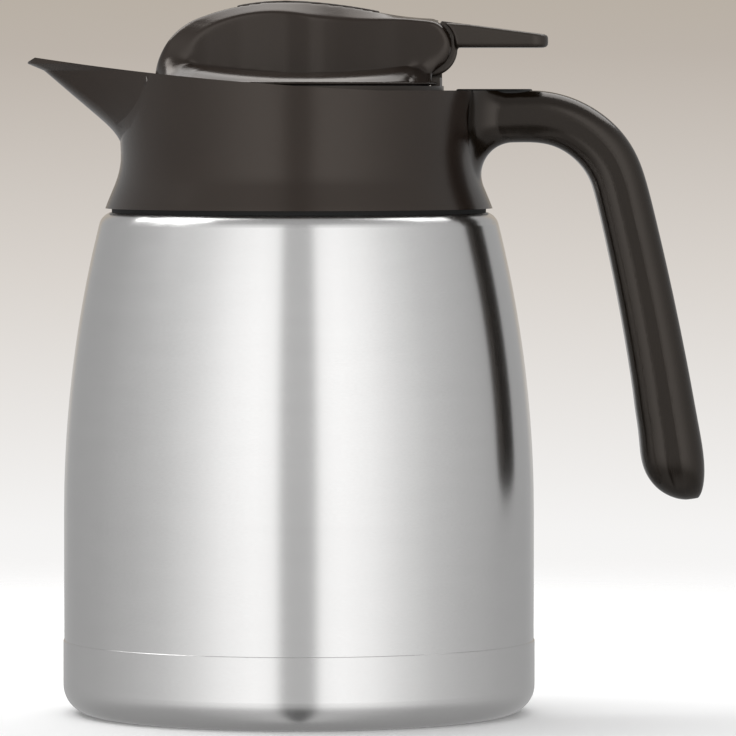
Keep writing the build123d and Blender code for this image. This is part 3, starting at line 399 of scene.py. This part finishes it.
LID_FLANGE_TILT = 0.15      # a face counts as the flange's top if it looks up more than this
LID_BEVEL = (9.1, 10.3)     # the softening sets in over these half widths
LID_NOSE_MELT = (-32.0, -36.0)      # past these the flange melts into the ridge's foot
LID_HINGE_MELT = (34.5, 37.5)
LID_MELT_SIDE = (6.0, 14.0)
LID_MELT_TOP = (208.0, 203.0)
LID_MELT_FOOT = 0.2
LID_MELT_PASSES = 220


def panel_set_back(x):
    """Depth of the side panel's gentle wave at a place along the ridge."""
    for (low, first), (high, last) in zip(LID_WAVE, LID_WAVE[1:]):
        if low <= x <= high:
            return first + (last - first) * (x - low) / (high - low)
    return 0.0


def rim_half_width(x):
    """Half width of the round flange at a place along the ridge."""
    return math.sqrt(max(LID_RIM_R ** 2 - x ** 2, 0.0))


def pillow_height(x, y):
    """Height of the flange's rounded top, which climbs towards the nose and the hinge."""
    edge_y = rim_half_width(x)
    reach, rise = (-LID_RIM_R, LID_FRONT_RISE) if x < LID_LOW_X else (LID_RIM_R, LID_REAR_RISE)
    along = (x - LID_LOW_X) / (reach - LID_LOW_X)
    width = max(edge_y - LID_SIDE, LID_LEAST_ROOM)
    inward = min(max(edge_y - abs(y), 0.0), width)
    climb = LID_LOW_RISE + rise * along ** 2
    full = 1 - math.exp(-width / LID_PILLOW)
    return LID_FOOT + climb * (1 - math.exp(-inward / LID_PILLOW)) / full


def pillow_share(x):
    """How much of the pillow the flange takes: none at the nose and where it is narrow."""
    room_end = LID_ROOM_NOSE if x < 0 else LID_ROOM_HINGE
    room = rim_half_width(x) - LID_SIDE
    return share(room, LID_ROOM_START, room_end) * share(x, *LID_NOSE_FADE)


def melt_share(x, y, z):
    """How much a place at the flange's two ends is melted into the ridge."""
    past_end = max(share(x, *LID_NOSE_MELT), share(x, *LID_HINGE_MELT))
    return past_end * share(abs(y), *LID_MELT_SIDE) * share(z, *LID_MELT_TOP)


def moulded_lid():
    """Skin of the lid cover with soft bevels and a pillowed flange."""
    piece = fine_skin("lid_cover", LID_VOXEL)
    mesh = piece.data
    bevels = piece.vertex_groups.new(name="soft")
    ends = piece.vertex_groups.new(name="ends")
    normals = [Vector(n.vector) for n in mesh.vertex_normals]
    for vertex, normal in zip(mesh.vertices, normals):
        x, y, z = vertex.co / MM
        outward = normal.y * (1 if y > 0 else -1)
        outside = outward > -LID_UNDERCUT and z > LID_FOOT + LID_SEAM
        if outside and abs(y) < LID_SIDE + LID_PANEL_SLACK:
            depth = panel_set_back(x) * share(abs(y), LID_TOP_HALF, LID_SIDE)
            vertex.co.y -= math.copysign(depth, y) * MM
        beside = abs(y) > LID_SIDE + LID_FLANGE_START and z > LID_FOOT - LID_FLANGE_SLACK
        if beside and normal.z > LID_FLANGE_TILT:
            vertex.co.z = (z + (pillow_height(x, y) - z) * pillow_share(x)) * MM
        past_top = share(abs(y), *LID_BEVEL)
        if outside and past_top > 0:
            bevels.add([vertex.index], past_top, "REPLACE")
        melted = melt_share(x, y, z)
        if melted > 0 and z > LID_FOOT + LID_MELT_FOOT:
            ends.add([vertex.index], melted, "REPLACE")
    soften(piece, "melt", LID_MELT_PASSES, "ends")
    soften(piece, "soften", LID_SOFTENING, "soft")
    finish_skin(piece, "lid_cover", "flip_lid")


# ---------------------------------------------------------------- cap, trim, lever, collar, weld
INSERT_VOXEL = 0.3
INSERT_SOFTENING = 16

TRIM_VOXEL = 0.35
TRIM_SOFTENING = 3
TRIM_SKIN = 1.0             # only the trim's upper face, this deep, follows the round
TRIM_CROWN_START = 6.0      # the trim follows the handle's rounded top past this half width
TRIM_CROWN_R = 6.56

PIVOT = (40.6, 205.8)       # hinge, and the half axes of the lid's round cheeks
CHEEK = (7.4, 9.4)
LEVER_VOXEL = 0.4
LEVER_SOFTENING = 5
LEVER_STEP = 48.6           # the plate's shoulders start here in the solid
LEVER_STRETCH = 52.0        # from here back the plate is drawn out to the cheeks
LEVER_HUB = 10.8
LEVER_GAP = 0.6
LEVER_NEAREST = 3.5         # it stays this far behind the pivot

WELD_R = 72.95              # bead along the joint of the shell and the base cup
WELD_Z = 22.65
WELD_BEAD = 0.22
WELD_STEPS = 240
WELD_SIDES = 8


def soft_insert():
    """Skin of the inset cap with soft edges."""
    piece = fine_skin("lid_top_insert", INSERT_VOXEL)
    soften(piece, "soften", INSERT_SOFTENING)
    finish_skin(piece, "lid_top_insert", "flip_lid")


def crowned_trim():
    """Skin of the soft trim, which follows the round of the handle under it."""
    piece = fine_skin("top_trim", TRIM_VOXEL)
    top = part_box("top_trim")[1][2]
    for vertex in piece.data.vertices:
        past = min(max(abs(vertex.co.y) / MM - TRIM_CROWN_START, 0.0), TRIM_CROWN_R)
        drop = TRIM_CROWN_R - math.sqrt(TRIM_CROWN_R ** 2 - past ** 2)
        if vertex.co.z > top - TRIM_SKIN * MM:
            vertex.co.z -= drop * MM
    soften(piece, "soften", TRIM_SOFTENING)
    finish_skin(piece, "top_trim", "carafe")


def fitted_lever():
    """Skin of the lever, whose plate reaches up to the lid's round cheeks."""
    piece = fine_skin("thumb_lever", LEVER_VOXEL)
    for vertex in piece.data.vertices:
        x, y, z = vertex.co / MM
        if abs(y) > LEVER_HUB and x < LEVER_STRETCH:
            height = share(z, PIVOT[1], PIVOT[1] + CHEEK[1])
            cheek_x = PIVOT[0] + CHEEK[0] * math.sqrt(1 - height ** 2) + LEVER_GAP
            cheek_x = min(max(cheek_x, PIVOT[0] + LEVER_NEAREST), LEVER_STEP)
            stretch = (LEVER_STRETCH - x) / (LEVER_STRETCH - LEVER_STEP)
            vertex.co.x = (LEVER_STRETCH - (LEVER_STRETCH - cheek_x) * stretch) * MM
    soften(piece, "soften", LEVER_SOFTENING)
    finish_skin(piece, "thumb_lever", "flip_lid")


def seamless_collar():
    """Copy of the collar's mesh without the slivers at the beak's seam."""
    piece = copy_of("spout_collar")
    close_slivers(piece.data)
    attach(piece, "carafe")
    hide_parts("spout_collar")


def weld_bead():
    """Fine ground weld round the body, above the base cup."""
    vertices = []
    faces = []
    for step in range(WELD_STEPS):
        turn = 2 * math.pi * step / WELD_STEPS
        for corner in range(WELD_SIDES):
            tilt = 2 * math.pi * corner / WELD_SIDES
            reach = WELD_R + WELD_BEAD * math.cos(tilt)
            height = WELD_Z + WELD_BEAD * math.sin(tilt)
            vertices.append((reach * math.cos(turn), reach * math.sin(turn), height))
    for step in range(WELD_STEPS):
        for corner in range(WELD_SIDES):
            after = (corner + 1) % WELD_SIDES
            near, far = step * WELD_SIDES, (step + 1) % WELD_STEPS * WELD_SIDES
            faces.append((near + corner, near + after, far + after, far + corner))
    new_piece("weld_bead", vertices, faces, "carafe", steel, smooth=True)


# ---------------------------------------------------------------- threads and lid screws
THREAD_TURNS = 2.6
THREAD_PITCH = 3.2
THREAD_STEPS = 96           # per turn
THREAD_BASE = 1.5           # width of the ridge at its root and at its crest
THREAD_CREST = 0.6
THREAD_RUNOUT = 14          # steps over which each end dies away
THREAD_PROUD = 0.26
THREAD_SUNK = 0.05
THREAD_LOW = 173.6          # foot of the stopper's thread
STOPPER_THREAD_R = 40.7     # walls of the plug and of the bore
RING_THREAD_R = 41.3

LID_SCREW = [               # half outline of a pan-head screw, from the head's face upwards
    (0.0, -1.2), (1.35, -1.2), (1.8, -1.05), (2.1, -0.75), (2.2, -0.35), (2.2, 0.0),
    (1.2, 0.0), (1.2, 5.2), (0.4, 6.0), (0.0, 6.0),
]
LID_SCREW_STEPS = 32
LID_SCREW_PLACES = [(-34.0, 0.0, 192.7), (26.0, 7.0, 192.7), (26.0, -7.0, 192.7)]
CROSS_WIDTH = 0.55          # cross drive in the screw's head
CROSS_LENGTH = 2.5
CROSS_DEPTH = 0.8
CROSS_CLEAR = 1.0           # the cutter starts this far below the head's face


def thread_ridge(name, radius, low, outward, body, material):
    """Helical ridge on a round wall; outward is 1 on a plug and -1 in a bore."""
    count = int(THREAD_TURNS * THREAD_STEPS)
    sides = 4
    root = radius - THREAD_SUNK * outward
    vertices = []
    faces = []
    for step in range(count + 1):
        turn = 2 * math.pi * step / THREAD_STEPS
        height = low + THREAD_PITCH * step / THREAD_STEPS
        full = min(step, count - step, THREAD_RUNOUT) / THREAD_RUNOUT
        crest = radius + (THREAD_PROUD * full - THREAD_SUNK * (1 - full)) * outward
        for reach, rise in (
            (root, -THREAD_BASE / 2), (crest, -THREAD_CREST / 2),
            (crest, THREAD_CREST / 2), (root, THREAD_BASE / 2),
        ):
            vertices.append((reach * math.cos(turn), reach * math.sin(turn), height + rise))
    for step in range(count):
        near, far = sides * step, sides * (step + 1)
        for corner in range(sides):
            after = (corner + 1) % sides
            faces.append((near + corner, near + after, far + after, far + corner))
    last = sides * count
    faces.append((0, 1, 2, 3))
    faces.append((last + 3, last + 2, last + 1, last))
    new_piece(name, vertices, faces, body, material)


def cross_cutter(place):
    """Cross-shaped prism that cuts the drive into a screw's head from below."""
    near, far = CROSS_WIDTH / 2, CROSS_LENGTH / 2
    plan = [
        (near, near), (near, far), (-near, far), (-near, near), (-far, near), (-far, -near),
        (-near, -near), (-near, -far), (near, -far), (near, -near), (far, -near), (far, near),
    ]
    x, y, z = place
    vertices = [(x + a, y + b, h) for h in (z - CROSS_CLEAR, z + CROSS_DEPTH) for a, b in plan]
    count = len(plan)
    faces = [tuple(range(count)), tuple(range(count, 2 * count))]
    for corner in range(count):
        after = (corner + 1) % count
        faces.append((corner, after, count + after, count + corner))
    cutter = bpy.data.objects.new("cutter", closed_mesh("cutter", vertices, faces))
    scene.collection.objects.link(cutter)
    return cutter


def lid_screw(name, place):
    """Pan-head screw with a cross drive, whose head lies against the lid's liner."""
    x, y, z = place
    count = LID_SCREW_STEPS
    face_z = z + LID_SCREW[0][1]
    vertices = [(x, y, face_z)]
    for reach, rise in LID_SCREW[1:-1]:
        for step in range(count):
            turn = 2 * math.pi * step / count
            vertices.append((x + reach * math.cos(turn), y + reach * math.sin(turn), z + rise))
    vertices.append((x, y, z + LID_SCREW[-1][1]))
    rings = len(LID_SCREW) - 2
    last = len(vertices) - 1
    top = 1 + (rings - 1) * count
    faces = []
    for step in range(count):
        after = (step + 1) % count
        faces.append((0, 1 + step, 1 + after))
        for level in range(rings - 1):
            low, high = 1 + level * count, 1 + (level + 1) * count
            faces.append((low + step, high + step, high + after, low + after))
        faces.append((top + step, last, top + after))
    screw = new_piece(name, vertices, faces, "flip_lid", screw_steel)
    cutter = cross_cutter((x, y, face_z))
    cut = screw.modifiers.new("drive", "BOOLEAN")
    cut.operation = "DIFFERENCE"
    cut.solver = "EXACT"
    cut.object = cutter
    apply_modifiers(screw)
    close_slivers(screw.data)
    bpy.data.objects.remove(cutter)
    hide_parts("lid_screws")


moulded_lid()
crowned_trim()
soft_insert()
fitted_lever()
weld_bead()
seamless_collar()
thread_ridge("stopper_thread", STOPPER_THREAD_R, THREAD_LOW, 1, "stopper", lever_brown)
thread_ridge("ring_thread", RING_THREAD_R, THREAD_LOW + THREAD_PITCH / 2, -1, "carafe", black)
for number, place in enumerate(LID_SCREW_PLACES):
    lid_screw(f"lid_screw_{number}", place)


# ---------------------------------------------------------------- floor and studio light
FLOOR_FADE_START = 0.25     # the floor starts to fade this far out
FLOOR_REACH = 0.75          # and is gone here
FLOOR_TONE = 0.93
FLOOR_ROUGHNESS = 0.9

BACKDROP = [                # tone of the backdrop by height, from under the floor line up: white at the floor, with painted shade that darkens it towards the top
    (0.0, (1.0, 1.0, 1.0)),
    (0.30, (0.91, 0.90, 0.89)),
    (0.62, (0.70, 0.66, 0.62)),
    (0.92, (0.50, 0.45, 0.40)),
    (1.0, (0.48, 0.43, 0.37)),
]
BACKDROP_HEIGHTS = (-0.095, 0.016)  # its tones run between these heights of a direction
STUDIO_LEVEL = 1.5          # strength of the light; the levels below are shares of it
STUDIO = [                  # (angle from the front as a share of half a turn, level round about)
    (0.0, 0.44), (0.040, 0.44), (0.062, 0.93), (0.12, 0.97), (0.20, 0.87), (0.29, 0.67),
    (0.39, 0.50), (0.49, 0.41), (0.64, 0.33), (0.80, 0.29), (1.0, 0.29),
]
UNDERFOOT = [               # (the same angle, level from below)
    (0.0, 0.08), (0.040, 0.09), (0.065, 0.40), (0.12, 0.40), (0.25, 0.33), (0.40, 0.27),
    (1.0, 0.22),
]
OVERHEAD = 0.30             # level from above
OVERHEAD_HEIGHTS = (0.45, 0.85)     # heights over which the light passes to these levels
UNDERFOOT_HEIGHTS = (-0.15, -0.6)
BEHIND_ANGLES = (0.86, 0.93)        # mirrored rays meet the backdrop behind the object
BEHIND_HEIGHTS = (-0.08, 0.0)       # and above the floor line


def grey(level):
    return (level, level, level)


def grey_stops(levels):
    """Ramp stops of grey from (position, level) pairs."""
    return [(at, grey(level)) for at, level in levels]


def plain_floor():
    """Pale floor that thins out into the backdrop all round."""
    material, n = new_material("floor_pale")
    place = n.add("ShaderNodeTexCoord").outputs["Object"]
    away = n.add("ShaderNodeVectorMath", {0: place}, operation="LENGTH").outputs["Value"]
    faded = n.smooth_step(away, FLOOR_FADE_START, FLOOR_REACH)
    pale = n.add("ShaderNodeBsdfPrincipled", {
        "Base Color": (*grey(FLOOR_TONE), 1), "Roughness": FLOOR_ROUGHNESS,
    })
    clear = n.add("ShaderNodeBsdfTransparent")
    mirrored = n.add("ShaderNodeLightPath").outputs["Is Glossy Ray"]
    shader = n.add("ShaderNodeMixShader", {
        0: n.math("MAXIMUM", faded, mirrored), 1: pale.outputs[0], 2: clear.outputs[0],
    })
    finish_material(n, shader)
    return material


def make_floor():
    mesh = bpy.data.meshes.new("floor")
    reach = FLOOR_REACH
    corners = [(-reach, -reach, 0), (reach, -reach, 0), (reach, reach, 0), (-reach, reach, 0)]
    mesh.from_pydata(corners, [], [(0, 1, 2, 3)])
    mesh.materials.append(plain_floor())
    floor = bpy.data.objects.new("floor", mesh)
    scene.collection.objects.link(floor)


def make_world():
    """Backdrop for the camera; broad soft light with a dark gap at the front for the object.

    Mirrored rays also meet the backdrop, where they leave to the back and above the floor line.
    """
    world = bpy.data.worlds.new("studio")
    scene.world = world
    n = Nodes(world)
    toward = n.add("ShaderNodeTexCoord").outputs["Generated"]
    split = n.add("ShaderNodeSeparateXYZ", {0: toward})
    height = split.outputs["Z"]
    front = n.math("MULTIPLY", split.outputs["Y"], -1.0)
    turn = n.math("ARCTAN2", split.outputs["X"], front)
    angle = n.math("DIVIDE", n.math("ABSOLUTE", turn), math.pi)

    above = n.smooth_step(height, *OVERHEAD_HEIGHTS)
    below = n.smooth_step(height, *UNDERFOOT_HEIGHTS)
    upper = n.mix(above, n.ramp(angle, grey_stops(STUDIO)), (*grey(OVERHEAD), 1.0))
    light = n.mix(below, upper, n.ramp(angle, grey_stops(UNDERFOOT)))
    lit = n.add("ShaderNodeBackground", {"Color": light, "Strength": STUDIO_LEVEL})

    low, high = BACKDROP_HEIGHTS
    rise = n.add("ShaderNodeMapRange", {"Value": height, "From Min": low, "From Max": high})
    # the backdrop's tones, with painted shade towards the top, seen by the camera and by mirrored
    # rays behind the object
    backdrop = n.ramp(rise.outputs[0], BACKDROP)
    seen = n.add("ShaderNodeBackground", {"Color": backdrop, "Strength": 1.0})

    rays = n.add("ShaderNodeLightPath").outputs
    mirrored = n.math("MAXIMUM", rays["Is Glossy Ray"], rays["Is Transmission Ray"])
    behind = n.math(
        "MULTIPLY", n.smooth_step(angle, *BEHIND_ANGLES), n.smooth_step(height, *BEHIND_HEIGHTS))
    eye = n.math("MAXIMUM", rays["Is Camera Ray"], n.math("MULTIPLY", mirrored, behind))
    both = n.add("ShaderNodeMixShader", {0: eye, 1: lit.outputs[0], 2: seen.outputs[0]})
    out = n.add("ShaderNodeOutputWorld")
    n.tree.links.new(both.outputs[0], out.inputs["Surface"])


make_floor()
make_world()
